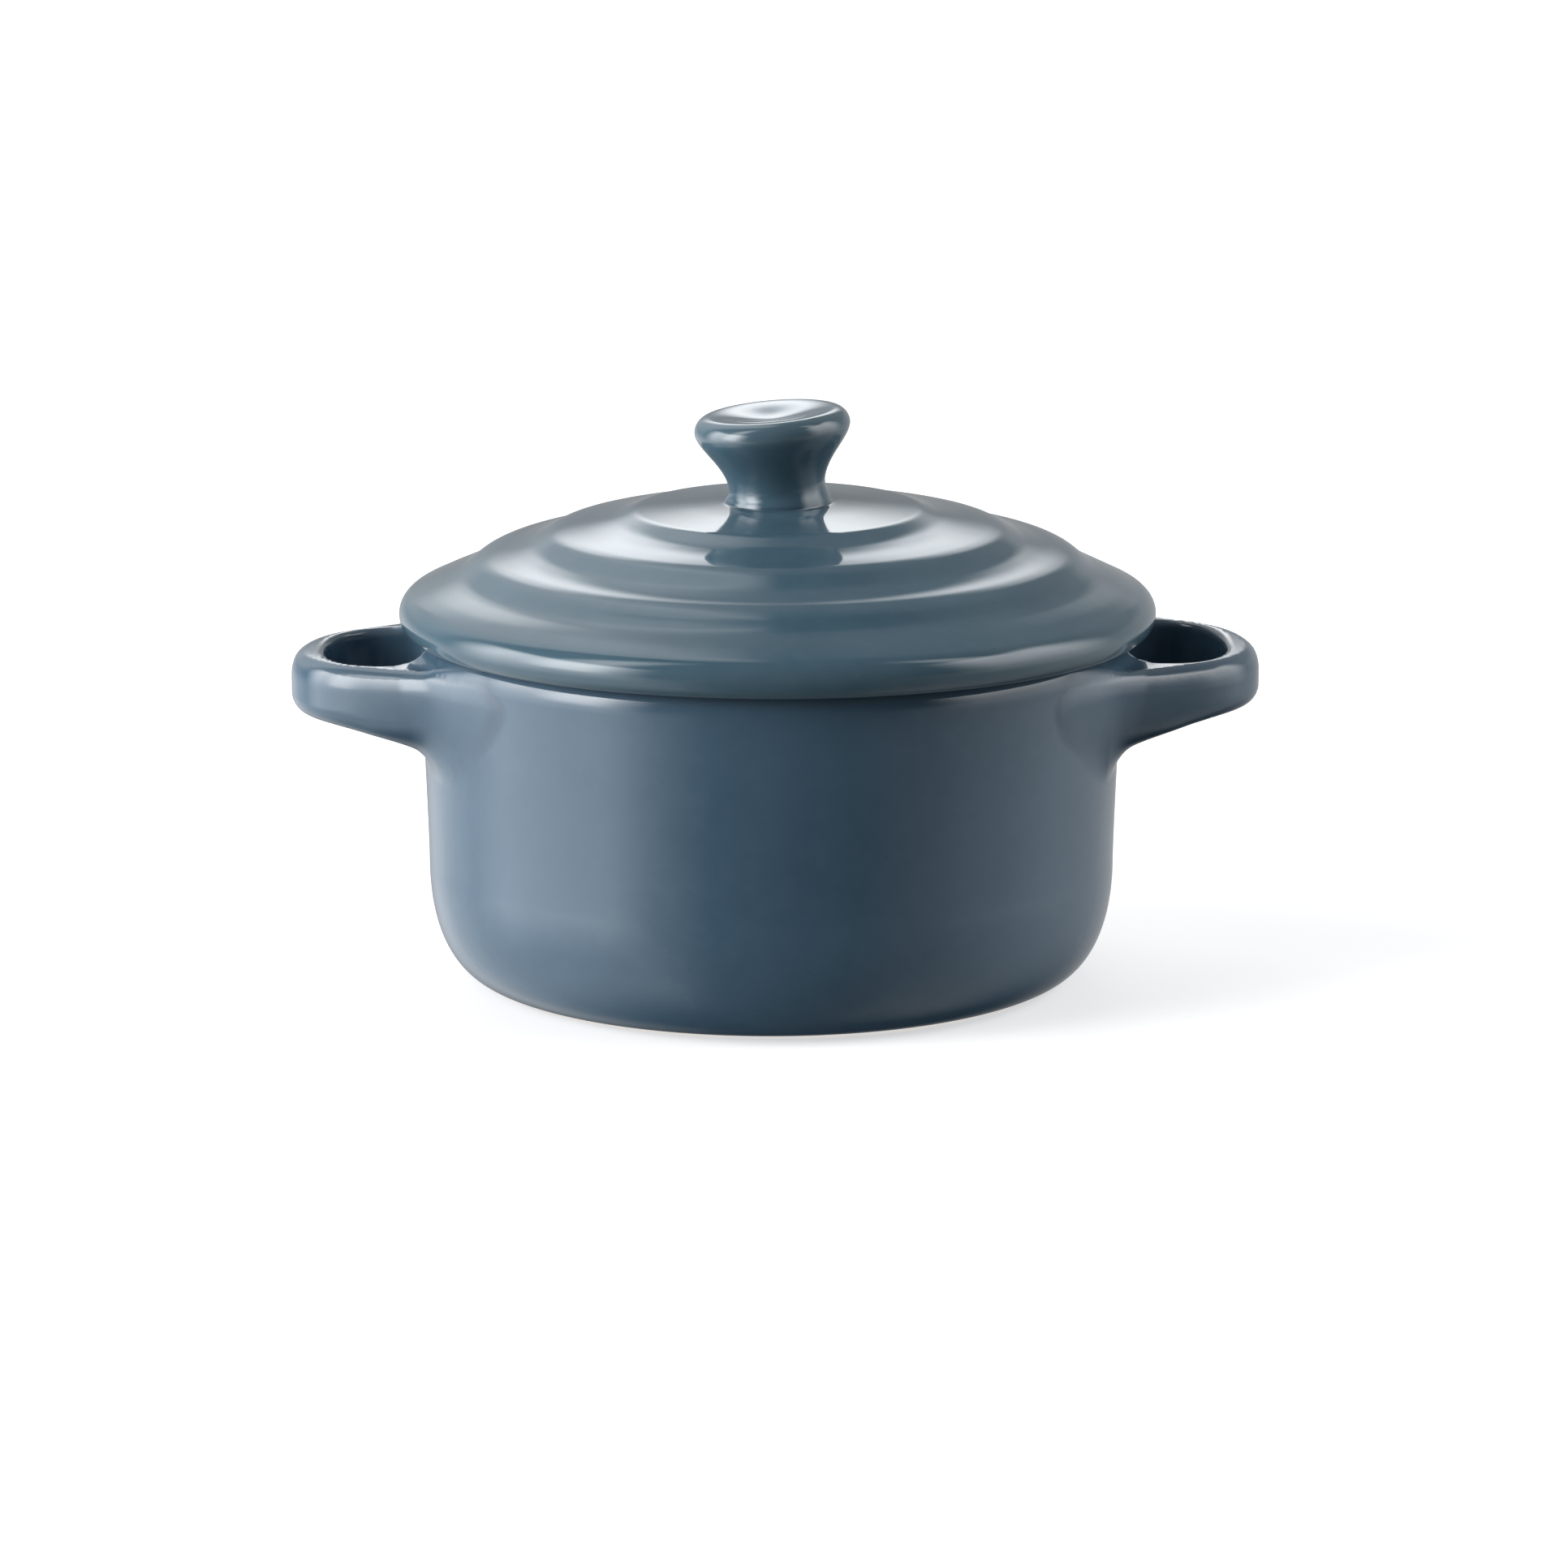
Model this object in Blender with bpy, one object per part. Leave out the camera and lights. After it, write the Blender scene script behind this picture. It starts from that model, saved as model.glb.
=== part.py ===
"""Lidded ramekin: a round glazed stoneware bowl with two looped ear handles, and a
domed, stepped lid with a waisted knob.

Metres, +Z up. The origin is at the middle of the foot, on the table. +X runs to the
right-hand handle. The lid rests on the rim and lifts straight up.
"""

import math

import bmesh
import bpy
from mathutils import Matrix, Vector

MM = 0.001
GAP = 0.3  # clearance between touching pieces

# ---- driving dimensions, in millimetres -------------------------------------------
SEGMENTS = 56  # facets of a turned piece

# bowl
FOOT_IN, FOOT_OUT = 34.5, 38.6  # flat ring that the bowl stands on
FOOT_RECESS = 1.2  # how far the base is hollowed inside the foot ring
CORNER_R, CORNER_H = 39.3, 17.0  # where the round bottom corner starts, and its height
CORNER_POWER = 2.26
WALL_R_LOW, WALL_R_TOP = 48.8, 50.0  # outer radius above the corner, and under the rim
RIM_Z = 50.1  # top of the rim
RIM_OUT_R, RIM_OUT_H = 2.8, 3.6  # outer rounding of the rim: across, down
RIM_POWER = 2.5
RIM_IN = 1.6  # inner rounding of the rim
WALL = 4.8  # wall thickness
FLOOR_Z = 5.8  # inside floor of the cavity
CAVITY_CORNER = 11.0

# ear handles
TIP_LEFT, TIP_RIGHT = 68.1, 69.5  # reach of each loop from the bowl's axis
EAR_LONG, EAR_HALF = 14.0, 16.3  # elliptic end of a loop: along, half width
EAR_SPREAD = 0.42  # how fast its straight sides spread towards the wall
EAR_ROOT = 44.0  # where a loop starts, inside the wall
HOLE_BAND = 4.9  # loop thickness at its tip
HOLE_LONG, HOLE_HALF = 9.4, 12.1  # finger hole: half length, half width
HOLE_POWER = 2.4
EAR_TOP = 47.4  # top of a loop along its hole
EAR_CLIMB, EAR_CLIMB_R = 0.2, 55.0  # its rise to the rim, and where that starts
EAR_SLOPE = 0.12  # its fall away from the hole
EAR_UNDER, EAR_SWEEP = 38.3, 0.0148  # underside at the tip, and its curve down to the wall
EAR_EDGE, EAR_EDGE_LOW, HOLE_EDGE = 3.0, 2.7, 1.2  # roundings: outside top, outside bottom, hole
EAR_STATIONS = 30

# lid
LID_SHIFT = 0.9  # the lid rests this far off the bowl's axis, within its clearance
LID_R = 53.67
LID_EDGE_Z = 52.25  # height of the lid's widest circle
LID_UP_R, LID_UP_H = 3.9, 3.45  # rounding above it: across, up
LID_LOW_R, LID_LOW_H = 2.4, 2.4  # rounding under it
SEAT_Z = RIM_Z + GAP
SEAT_OUT = 48.3
FLANGE_OUT, FLANGE_IN, FLANGE_Z = 43.2, 39.6, 44.8  # locating ring under the lid
CEILING_Z, CEILING_R, CEILING_DROP = 63.3, 36.0, 6.0  # hollow under the dome
# the dome's steps, from the middle outwards: radius and downward slope there
STEPS = (
    (0.0, 0.00), (9.0, 0.05), (14.0, 0.08), (19.7, 0.09), (21.0, 0.40), (22.0, 0.39), (24.4, 0.22), (27.6, 0.165),
    (29.8, 0.18), (31.2, 0.27), (32.8, 0.58), (34.0, 0.56), (36.0, 0.32), (39.2, 0.23), (40.8, 0.31), (42.0, 0.51),
    (43.2, 0.88), (44.1, 0.84), (45.5, 0.40), (46.8, 0.32), (48.5, 0.35), (50.2, 0.44),
)

# knob
KNOB_SHIFT = 0.1  # off the lid's axis
KNOB_LEAN = math.radians(4.5)  # it was pressed on leaning to the left
KNOB_SEGMENTS = 36
KNOB_BASE_R, KNOB_WAIST_R, KNOB_R = 7.4, 6.85, 11.05
KNOB_WAIST_Z, KNOB_WIDE_Z, KNOB_CREST_Z = 2.3, 10.5, 12.9  # above the lid's middle
KNOB_CREST_R, KNOB_DISH = 8.9, 1.1

GLAZE = (0.088, 0.135, 0.188)  # linear colour of the blue-grey glaze


# ---- small geometry helpers -------------------------------------------------------
def lerp(a, b, t):
    return a + (b - a) * t


def smooth(t):
    t = min(1.0, max(0.0, t))
    return t * t * (3 - 2 * t)


def arc(cr, cz, rr, rz, start, end, count):
    """Points of an elliptical arc about (cr, cz), angles in degrees."""
    for i in range(count + 1):
        a = math.radians(lerp(start, end, i / count))
        yield (cr + rr * math.cos(a), cz + rz * math.sin(a))


def wall_radius(z):
    """Outer radius of the bowl at height z, up to where its rim starts to round."""
    if z < CORNER_H:
        t = (CORNER_H - max(z, 0.0)) / CORNER_H
        return lerp(CORNER_R, WALL_R_LOW, (1 - t**CORNER_POWER) ** (1 / CORNER_POWER))
    t = (z - CORNER_H) / (RIM_Z - RIM_OUT_H - CORNER_H)
    return lerp(WALL_R_LOW, WALL_R_TOP, min(1.0, t) ** 1.2)


def dome_slope(r):
    for (r0, s0), (r1, s1) in zip(STEPS, STEPS[1:]):
        if r <= r1:
            return lerp(s0, s1, smooth((r - r0) / (r1 - r0)))
    return STEPS[-1][1]


def dome_profile(step):
    """Top of the lid from its middle to where the edge starts to round, by slopes."""
    end = STEPS[-1][0]
    count = round(end / step)
    radii = [end * i / count for i in range(count + 1)]
    # the edge rounding starts where its own slope matches the dome's last slope
    u = math.atan2(LID_UP_H, LID_UP_R * STEPS[-1][1])
    edge_r = LID_R - LID_UP_R + LID_UP_R * math.cos(u)
    z = LID_EDGE_Z + LID_UP_H * math.sin(u) + STEPS[-1][1] * max(0.0, edge_r - end)
    points = [(end, z)]
    fine = 8
    for r0, r1 in zip(reversed(radii[:-1]), reversed(radii[1:])):
        for k in range(fine):
            z += dome_slope(lerp(r1, r0, (k + 0.5) / fine)) * (r1 - r0) / fine
        points.append((r0, z))
    points.reverse()
    return points, math.degrees(u)


# ---- mesh helpers -----------------------------------------------------------------
def finish(bm, name, colour, rough):
    bmesh.ops.recalc_face_normals(bm, faces=bm.faces)
    mesh = bpy.data.meshes.new(name)
    bm.to_mesh(mesh)
    bm.free()
    mesh.shade_smooth()
    mesh.set_sharp_from_angle(angle=math.radians(40))
    obj = bpy.data.objects.new(name, mesh)
    bpy.context.scene.collection.objects.link(obj)
    if colour:
        material = bpy.data.materials.new(name + "_glaze")
        material.use_nodes = True
        shader = material.node_tree.nodes["Principled BSDF"]
        shader.inputs["Base Color"].default_value = (*colour, 1.0)
        shader.inputs["Roughness"].default_value = rough
        shader.inputs["Metallic"].default_value = 0.0
        mesh.materials.append(material)
    else:
        obj.hide_render = True
        obj.display_type = "WIRE"
    return obj


def turned(name, profile, segments, colour=None, rough=0.12):
    """A profile of (radius, height) in millimetres, spun about Z."""
    bm = bmesh.new()
    verts = [bm.verts.new((r * MM, 0.0, z * MM)) for r, z in profile]
    edges = [bm.edges.new(pair) for pair in zip(verts, verts[1:])]
    bmesh.ops.spin(
        bm,
        geom=verts + edges,
        cent=(0, 0, 0),
        axis=(0, 0, 1),
        angle=2 * math.pi,
        steps=segments,
        use_merge=True,
    )
    bmesh.ops.remove_doubles(bm, verts=bm.verts, dist=1e-6)
    return finish(bm, name, colour, rough)


def cut(obj, cutter):
    modifier = obj.modifiers.new("cut_" + cutter.name, "BOOLEAN")
    modifier.operation = "DIFFERENCE"
    modifier.solver = "EXACT"
    modifier.object = cutter


def empty(name, location):
    obj = bpy.data.objects.new(name, None)
    obj.empty_display_size = 0.02
    obj.location = location
    bpy.context.scene.collection.objects.link(obj)
    return obj


# ---- bowl -------------------------------------------------------------------------
def bowl_outside():
    """Outer face from the foot's outer edge up to the rim's crest."""
    points = [(FOOT_OUT, 0.0)]
    for i in range(1, 9):  # round bottom corner
        a = math.radians(90 * i / 8)
        z = CORNER_H * (1 - math.cos(a) ** (2 / CORNER_POWER))
        points.append((wall_radius(z), z))
    rim_start = RIM_Z - RIM_OUT_H
    for i in range(1, 4):
        z = lerp(CORNER_H, rim_start, i / 3)
        points.append((wall_radius(z), z))
    crest = wall_radius(rim_start) - RIM_OUT_R
    for i in range(1, 7):  # rolled rim
        a = math.radians(90 * i / 6)
        across = max(0.0, math.cos(a)) ** (2 / RIM_POWER)
        points.append((crest + RIM_OUT_R * across, rim_start + RIM_OUT_H * math.sin(a) ** (2 / RIM_POWER)))
    return points


def make_bowl():
    outside = bowl_outside()
    crest = outside[-1][0]
    inner_r = wall_radius(RIM_Z - RIM_OUT_H) - WALL
    base_inner = 33.0
    profile = [(0.0, FOOT_RECESS), (base_inner - 1.0, FOOT_RECESS), (FOOT_IN, 0.0)]
    profile += outside
    profile += list(arc(crest, RIM_Z - RIM_IN, -(crest - inner_r), RIM_IN, 90, 0, 3))[1:]
    low_r = wall_radius(CORNER_H) - WALL - 0.4
    profile += [(lerp(inner_r, low_r, t), lerp(RIM_Z - RIM_IN, 20.0, t)) for t in (0.5, 1.0)]
    corner_z = FLOOR_Z + CAVITY_CORNER
    profile += list(arc(low_r - CAVITY_CORNER, corner_z, CAVITY_CORNER, CAVITY_CORNER, 0, -90, 6))
    profile.append((0.0, FLOOR_Z))
    return turned("bowl", profile, SEGMENTS, GLAZE)


# ---- ear handles ------------------------------------------------------------------
def ear_height(x, y, from_hole, tip):
    """(underside, top) of a loop, by place and by distance from its hole."""
    r = math.hypot(x, y)
    fall = EAR_SLOPE * min(8.0, from_hole) * (1 - smooth((57.0 - r) / 7.0))
    top = EAR_TOP + EAR_CLIMB * min(6.0, max(0.0, EAR_CLIMB_R - r)) - fall
    under = EAR_UNDER - EAR_SWEEP * max(0.0, tip - 2.8 - x) ** 2
    return under, top


def ear_outlines(tip):
    """Matching points along the loop's outer edge and along its hole, root to root."""
    middle = tip - HOLE_BAND - HOLE_LONG  # where the hole is widest
    turn = math.atan2(EAR_HALF, EAR_LONG * EAR_SPREAD)
    end = (tip - EAR_LONG + EAR_LONG * math.cos(turn), EAR_HALF * math.sin(turn))
    bend = 0.66
    outer, inner = [], []
    for i in range(EAR_STATIONS + 1):
        t = lerp(-1.0, 1.0, i / EAR_STATIONS)
        side = math.copysign(1.0, t) if t else 0.0
        a = abs(t) / bend
        if a <= 1:
            angle = math.radians(90 * a)
            power = 2 / HOLE_POWER
            outer.append((tip - EAR_LONG + EAR_LONG * math.cos(turn * a), side * EAR_HALF * math.sin(turn * a)))
            inner.append((
                middle + HOLE_LONG * max(0.0, math.cos(angle)) ** power,
                side * HOLE_HALF * math.sin(angle) ** power,
            ))
        else:
            t = (abs(t) - bend) / (1 - bend)
            x = lerp(end[0], EAR_ROOT, t)
            outer.append((x, side * (end[1] + (end[0] - x) * EAR_SPREAD)))
            x = lerp(middle, EAR_ROOT, t)
            u = min(0.8, (middle - x) / HOLE_LONG)
            inner.append((x, side * HOLE_HALF * (1 - u**HOLE_POWER) ** (1 / HOLE_POWER)))
    return outer, inner


def ear_section(out_xy, in_xy, tip):
    """Rounded section of the loop between its outer edge and its hole."""
    width = math.dist(out_xy, in_xy)

    def corner(from_outer, from_face, top):
        t = from_outer / width
        x, y = lerp(out_xy[0], in_xy[0], t), lerp(out_xy[1], in_xy[1], t)
        under, upper = ear_height(x, y, width - from_outer, tip)
        return (x, y, upper - from_face if top else under + from_face)

    high_edge = min(EAR_EDGE, 0.48 * width)
    low_edge = min(EAR_EDGE_LOW, 0.48 * width)
    inner_edge = min(HOLE_EDGE, 0.35 * width)
    points = []
    for k in range(5):  # top, outer edge
        a = math.radians(90 * k / 4)
        points.append(corner(high_edge * (1 - math.cos(a)), high_edge * (1 - math.sin(a)), True))
    for k in range(3):  # top, hole edge
        a = math.radians(90 * k / 2)
        points.append(corner(width - inner_edge * (1 - math.sin(a)), inner_edge * (1 - math.cos(a)), True))
    for k in range(3):  # underside, hole edge
        a = math.radians(90 * k / 2)
        points.append(corner(width - inner_edge * (1 - math.cos(a)), inner_edge * (1 - math.sin(a)), False))
    for k in range(5):  # underside, outer edge
        a = math.radians(90 * k / 4)
        points.append(corner(low_edge * (1 - math.sin(a)), low_edge * (1 - math.cos(a)), False))
    return points


def make_ear(name, tip, wall_cutter):
    bm = bmesh.new()
    rings = []
    for out_xy, in_xy in zip(*ear_outlines(tip)):
        rings.append([bm.verts.new(Vector(p) * MM) for p in ear_section(out_xy, in_xy, tip)])
    for a, b in zip(rings, rings[1:]):
        for i in range(len(a)):
            j = (i + 1) % len(a)
            bm.faces.new((a[i], a[j], b[j], b[i]))
    bm.faces.new(rings[0])
    bm.faces.new(reversed(rings[-1]))
    bmesh.ops.triangulate(bm, faces=[f for f in bm.faces if len(f.verts) > 4])
    ear = finish(bm, name, GLAZE, 0.12)
    cut(ear, wall_cutter)
    return ear


# ---- lid and knob -----------------------------------------------------------------
def make_lid():
    dome, start = dome_profile(1.65)
    top = list(dome)
    top += list(arc(LID_R - LID_UP_R, LID_EDGE_Z, LID_UP_R, LID_UP_H, start, 0, 6))
    under = list(arc(LID_R - LID_LOW_R, LID_EDGE_Z, LID_LOW_R, LID_LOW_H, 0, -90, 4))[1:]
    under += [(SEAT_OUT, SEAT_Z), (FLANGE_OUT + 0.8, SEAT_Z), (FLANGE_OUT, SEAT_Z - 0.8)]
    middle, half = (FLANGE_OUT + FLANGE_IN) / 2, (FLANGE_OUT - FLANGE_IN) / 2
    under += list(arc(middle, FLANGE_Z + half, half, half, 0, -180, 4))
    ceiling_edge = CEILING_Z - CEILING_DROP
    under += list(arc(CEILING_R, ceiling_edge - 4.0, FLANGE_IN - CEILING_R, 4.0, 0, 80, 3))
    for i in range(1, 7):
        r = CEILING_R * (1 - i / 6)
        under.append((r, CEILING_Z - CEILING_DROP * (r / CEILING_R) ** 2.2))
    return turned("lid", top + under, SEGMENTS, GLAZE)


def make_knob(seat_cutter, middle_z):
    base = -1.2  # starts inside the lid, then is cut to its face
    profile = [(0.0, base), (KNOB_BASE_R, base), (KNOB_BASE_R, 0.9)]
    for i in range(1, 4):  # step above the seat, into the waist
        t = i / 3
        profile.append((lerp(KNOB_BASE_R, KNOB_WAIST_R, smooth(t)), lerp(0.9, KNOB_WAIST_Z, t)))
    for i in range(1, 8):  # flare
        t = i / 7
        profile.append((
            lerp(KNOB_WAIST_R, KNOB_R, smooth(t) ** 1.15),
            lerp(KNOB_WAIST_Z, KNOB_WIDE_Z - 0.3, t),
        ))
    rise = KNOB_CREST_Z - KNOB_WIDE_Z
    profile += list(arc(KNOB_CREST_R, KNOB_WIDE_Z, KNOB_R - KNOB_CREST_R, rise, 0, 90, 5))
    for i in range(1, 5):  # dished top
        t = i / 4
        profile.append((KNOB_CREST_R * (1 - t), KNOB_CREST_Z - KNOB_DISH * smooth(t)))
    knob = turned("knob", profile, KNOB_SEGMENTS, GLAZE)
    knob.data.transform(Matrix.Rotation(-KNOB_LEAN, 4, "Y"))
    knob.location = (KNOB_SHIFT * MM, 0.0, middle_z * MM)
    cut(knob, seat_cutter)
    return knob


def main():
    for obj in list(bpy.data.objects):
        bpy.data.objects.remove(obj, do_unlink=True)

    pot = empty("pot_frame", (0.0, 0.0, 0.0))
    bowl = make_bowl()

    # the bowl's outer face, grown by the clearance, trims the handles to the wall
    outside = bowl_outside()
    grown = [(0.0, 12.0)] + [(wall_radius(z) + GAP, z) for z in (12.0, 17.0, 26.0, 36.0)]
    grown += [(r + GAP, z) for r, z in outside if z > 40.0 and r > WALL_R_TOP - 1.0]
    grown += [(WALL_R_TOP - 0.6, 56.0), (0.0, 56.0)]
    wall_cutter = turned("wall_cutter", grown, SEGMENTS)

    left = make_ear("handle_left", TIP_LEFT, wall_cutter)
    left.data.transform(Matrix.Rotation(math.pi, 4, "Z"))
    right = make_ear("handle_right", TIP_RIGHT, wall_cutter)
    for obj in (bowl, left, right, wall_cutter):
        obj.parent = pot

    lid_axis = empty("lid_axis", (LID_SHIFT * MM, 0.0, 0.0))
    lid = make_lid()
    dome, _ = dome_profile(1.65)
    seat = [(0.0, 50.0), (16.0, 50.0)]
    seat += [(r, z + GAP) for r, z in reversed(dome) if r < 16.0]
    seat_cutter = turned("seat_cutter", seat, SEGMENTS)
    knob = make_knob(seat_cutter, dome[0][1])
    for obj in (lid, knob, seat_cutter):
        obj.parent = lid_axis


main()
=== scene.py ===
import math

import bpy
import numpy as np
from mathutils import Euler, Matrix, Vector


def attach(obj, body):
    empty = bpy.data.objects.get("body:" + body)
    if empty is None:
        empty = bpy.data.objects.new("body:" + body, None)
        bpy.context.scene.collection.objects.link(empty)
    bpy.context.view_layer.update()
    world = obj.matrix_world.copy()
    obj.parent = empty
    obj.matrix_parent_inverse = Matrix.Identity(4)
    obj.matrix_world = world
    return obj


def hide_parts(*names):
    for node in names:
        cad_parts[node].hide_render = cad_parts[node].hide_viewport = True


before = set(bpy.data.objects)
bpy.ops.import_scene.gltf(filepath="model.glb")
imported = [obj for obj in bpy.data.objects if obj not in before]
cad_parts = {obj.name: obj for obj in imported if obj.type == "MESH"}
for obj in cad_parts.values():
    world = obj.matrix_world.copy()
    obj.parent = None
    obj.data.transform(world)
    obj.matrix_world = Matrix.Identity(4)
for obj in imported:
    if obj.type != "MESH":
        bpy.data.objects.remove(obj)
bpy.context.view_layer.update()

MM = 0.001

# =====================================================================================
# Dimensions in millimetres, as in the solid model
# =====================================================================================
FOOT_IN, FOOT_OUT, FOOT_RECESS = 34.5, 38.6, 1.2
CORNER_R, CORNER_H, CORNER_POWER = 39.3, 17.0, 2.26
WALL_R_LOW, WALL_R_TOP = 48.8, 50.0
RIM_Z, RIM_OUT_R, RIM_OUT_H, RIM_POWER, RIM_IN = 50.1, 3.2, 3.6, 2.4, 1.6
WALL, FLOOR_Z, CAVITY_CORNER = 4.8, 5.8, 11.0

TIP_LEFT, TIP_RIGHT, TIP_MEAN = 68.1, 69.5, 68.8
EAR_MID, EAR_LONG, EAR_HALF, EAR_SPREAD, EAR_SPREAD_LOW = 54.8, 14.0, 15.6, 0.50, 0.36
EAR_FLARE, EAR_FLARE_LOW, FLARE_IN = 7.0, 5.0, 1.2
HOLE_MID, HOLE_LONG, HOLE_HALF, HOLE_POWER = 54.5, 9.4, 12.1, 2.4
EAR_TOP, EAR_CLIMB, EAR_SLOPE = 47.4, 0.2, 0.12
TILT_LEFT, TILT_RIGHT = 0.02, 0.05
EAR_UNDER, EAR_SWEEP = 38.3, 0.0148
EAR_EDGE, EAR_EDGE_LOW, EAR_EDGE_WALL, HOLE_EDGE = 1.1, 2.7, 6.5, 1.2
EAR_EASE, EAR_EASE_H = 0.11, 3.1
UNDER_RIGHT = 0.4
EAR_FILLET = 3.0

LID_SHIFT, LID_R, LID_EDGE_Z = 0.9, 53.67, 52.25
LID_UP_R, LID_UP_H, LID_LOW_R, LID_LOW_H = 3.9, 3.45, 1.6, 2.4
SEAT_Z, SEAT_OUT = 50.4, 48.3
FLANGE_OUT, FLANGE_IN, FLANGE_Z = 43.2, 39.6, 44.8
CEILING_Z, CEILING_R, CEILING_DROP = 63.3, 36.0, 6.0
STEPS = (
    (0.0, 0.00), (9.0, 0.05), (14.0, 0.08), (19.7, 0.09), (21.0, 0.40), (22.0, 0.39), (24.4, 0.22), (27.6, 0.165),
    (29.8, 0.18), (31.2, 0.27), (32.8, 0.58), (34.0, 0.56), (36.0, 0.32), (39.2, 0.19), (40.8, 0.29), (42.0, 0.51),
    (43.2, 0.80), (44.1, 0.76), (45.5, 0.47), (46.8, 0.40), (48.5, 0.41), (50.2, 0.46),
)
# the dome has warped in firing: rise per millimetre to the right and to the back, inside the edge
WARP_RIGHT, WARP_BACK = 0.006, 0.019

KNOB_SHIFT, KNOB_LEAN = 0.1, math.radians(4.5)
KNOB_R, KNOB_WIDE_Z, KNOB_CREST_Z = 11.05, 10.5, 12.75
KNOB_CREST_R, KNOB_DISH = 8.9, 1.1
# knob's stem from the lid up: height above the lid's middle, radius
KNOB_STEM = (
    (0.15, 7.50), (0.7, 7.30), (1.4, 7.00), (2.2, 6.85), (3.4, 7.05), (4.8, 7.64),
    (6.2, 8.50), (7.6, 9.52), (8.8, 10.36), (9.75, 10.86), (10.5, 11.05),
)


def lerp(a, b, t):
    return a + (b - a) * t


def smooth(t):
    t = np.clip(t, 0.0, 1.0)
    return t * t * (3 - 2 * t)


def arc(cr, cz, rr, rz, start, end, count):
    a = np.radians(np.linspace(start, end, count + 1))
    return list(zip(cr + rr * np.cos(a), cz + rz * np.sin(a)))


def super_arc(cx, ax, ay, start, end, count, power):
    """Points of a superellipse about (cx, 0), angles in degrees."""
    a = np.radians(np.linspace(start, end, count + 1))
    c, s = np.cos(a), np.sin(a)
    return np.stack([cx + ax * np.sign(c) * np.abs(c) ** (2 / power), ay * np.sign(s) * np.abs(s) ** (2 / power)], 1)


# =====================================================================================
# Pot: bowl and both ears as one glazed surface, from a distance field
# =====================================================================================
def wall_radius(z):
    z = np.asarray(z, float)
    t = (CORNER_H - np.clip(z, 0.0, CORNER_H)) / CORNER_H
    low = lerp(CORNER_R, WALL_R_LOW, (1 - t**CORNER_POWER) ** (1 / CORNER_POWER))
    up = np.clip((z - CORNER_H) / (RIM_Z - RIM_OUT_H - CORNER_H), 0, 1) ** 1.2
    return np.where(z < CORNER_H, low, lerp(WALL_R_LOW, WALL_R_TOP, up))


def bowl_half():
    """Half section of the bowl, from the middle of its base round to its inside floor."""
    p = [(0.0, FOOT_RECESS), (15.0, FOOT_RECESS), (30.5, FOOT_RECESS)]
    for t in np.linspace(0.0, 1.0, 12)[1:]:
        p.append((lerp(31.0, FOOT_IN + 0.3, t), FOOT_RECESS * (1 - smooth(t))))
    p.append((FOOT_OUT, 0.0))
    for a in np.radians(np.linspace(0, 90, 120))[1:]:
        z = CORNER_H * (1 - math.cos(a) ** (2 / CORNER_POWER)) if a < math.pi / 2 else CORNER_H
        p.append((float(wall_radius(z)), z))
    start = RIM_Z - RIM_OUT_H
    for z in np.linspace(CORNER_H, start, 60)[1:]:
        p.append((float(wall_radius(z)), z))
    crest = float(wall_radius(start)) - RIM_OUT_R
    p += [(crest + a, start + b) for a, b in super_arc(0.0, RIM_OUT_R, RIM_OUT_H, 0, 90, 40, RIM_POWER)[1:]]
    inner = float(wall_radius(start)) - WALL
    p += arc(crest, RIM_Z - RIM_IN, -(crest - inner), RIM_IN, 90, 0, 20)[1:]
    low = WALL_R_LOW - WALL - 0.4
    top, corner = RIM_Z - RIM_IN, FLOOR_Z + CAVITY_CORNER
    for t in np.linspace(0, 1, 30)[1:]:
        p.append((lerp(inner, low, 1 - (1 - t) ** 1.3), lerp(top, corner, t)))
    p += arc(low - CAVITY_CORNER, corner, CAVITY_CORNER, CAVITY_CORNER, 0, -90, 60)[1:]
    p += [(16.0, FLOOR_Z), (0.0, FLOOR_Z)]
    return np.array(p)


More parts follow.
